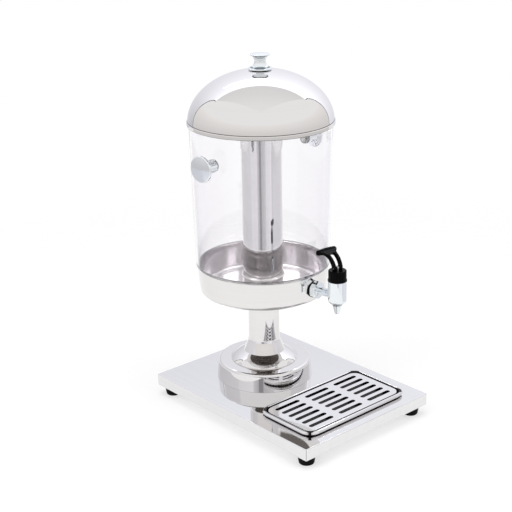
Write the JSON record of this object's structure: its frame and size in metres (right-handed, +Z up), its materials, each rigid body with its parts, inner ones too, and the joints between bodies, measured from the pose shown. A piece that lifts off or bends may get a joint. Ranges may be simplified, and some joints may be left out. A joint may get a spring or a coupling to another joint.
{
  "type": "juice dispenser",
  "caption": "Juice dispenser: clear cylindrical tank in a polished steel pan on a flared column, with dome lid, ice tube, lever tap and a slotted drip tray on a flat base plate.",
  "frame": {"origin": "on the floor under the middle of the base plate", "axes": "+Z up, -Y towards the front where the tap and drip tray are, +X to the right of someone facing the tap"},
  "size_m": [0.274, 0.346, 0.5504],
  "materials": {
    "polished_steel": "mirror polished stainless steel",
    "brushed_steel": "satin stainless steel tube",
    "chrome_plate": "chrome plated",
    "plated_steel": "zinc plated fasteners",
    "clear_polycarbonate": "clear, glossy",
    "black_plastic": "glossy black moulding",
    "black_rubber": "matt black rubber",
    "silicone": "translucent white silicone"
  },
  "bodies": {
    "base": {"base_plate": "polished_steel", "feet": "black_rubber", "foot_screws": "plated_steel", "foot_nuts": "plated_steel", "pedestal_drum": "polished_steel", "pedestal_column": "polished_steel", "tie_rod": "plated_steel", "tie_nuts": "plated_steel", "tie_washers": "plated_steel", "pan": "polished_steel", "tank": "clear_polycarbonate", "socket_seal": "silicone", "ice_tube_socket": "polished_steel", "side_knobs": "chrome_plate", "side_knob_screws": "plated_steel", "side_knob_washers": "silicone", "tap_body": "chrome_plate", "tap_outer_nut": "chrome_plate", "tap_inner_nut": "chrome_plate", "tap_gaskets": "black_rubber", "tap_bonnet": "black_plastic", "tap_spring": "plated_steel"},
    "lid": {"lid_dome": "polished_steel", "lid_knob": "chrome_plate", "lid_knob_screw": "plated_steel", "lid_knob_washer": "plated_steel"},
    "ice_tube": {"ice_tube": "brushed_steel"},
    "ice_tube_cap": {"ice_tube_cap": "brushed_steel"},
    "drip_tray": {"drip_tray": "polished_steel"},
    "drip_grid": {"drip_grid": "polished_steel"},
    "tap_stem": {"tap_stem": "plated_steel", "tap_seat_cup": "silicone"},
    "tap_lever": {"tap_lever": "black_plastic", "tap_pin": "plated_steel"}
  },
  "joints": [
    {"name": "lid_lift", "type": "slide", "parent": "base", "child": "lid", "axis": [0, 0, 1], "range_m": [0, 0.15]},
    {"name": "ice_tube_lift", "type": "slide", "parent": "base", "child": "ice_tube", "axis": [0, 0, 1], "range_m": [0, 0.05]},
    {"name": "cap_lift", "type": "slide", "parent": "ice_tube", "child": "ice_tube_cap", "axis": [0, 0, 1], "range_m": [0, 0.03]},
    {"name": "tray_lift", "type": "slide", "parent": "base", "child": "drip_tray", "axis": [0, 0, 1], "range_m": [0, 0.04]},
    {"name": "grid_lift", "type": "slide", "parent": "drip_tray", "child": "drip_grid", "axis": [0, 0, 1], "range_m": [0, 0.025]},
    {"name": "stem_lift", "type": "slide", "parent": "base", "child": "tap_stem", "axis": [0, 0, 1], "range_m": [0, 0.00159], "deforming": ["tap_spring"]},
    {"name": "lever_tilt", "type": "hinge", "parent": "tap_stem", "child": "tap_lever", "pos_m": [0.01779, -0.08711, 0.247], "axis": [0.9962, -0.0872, 0], "range_deg": [0, 36], "stiffness_Nm_per_rad": 0.05, "springref_deg": -17.19}
  ],
  "couplings": [
    {"joint": "lever_tilt", "follows": "stem_lift", "rad_per_m": 384.6}
  ]
}
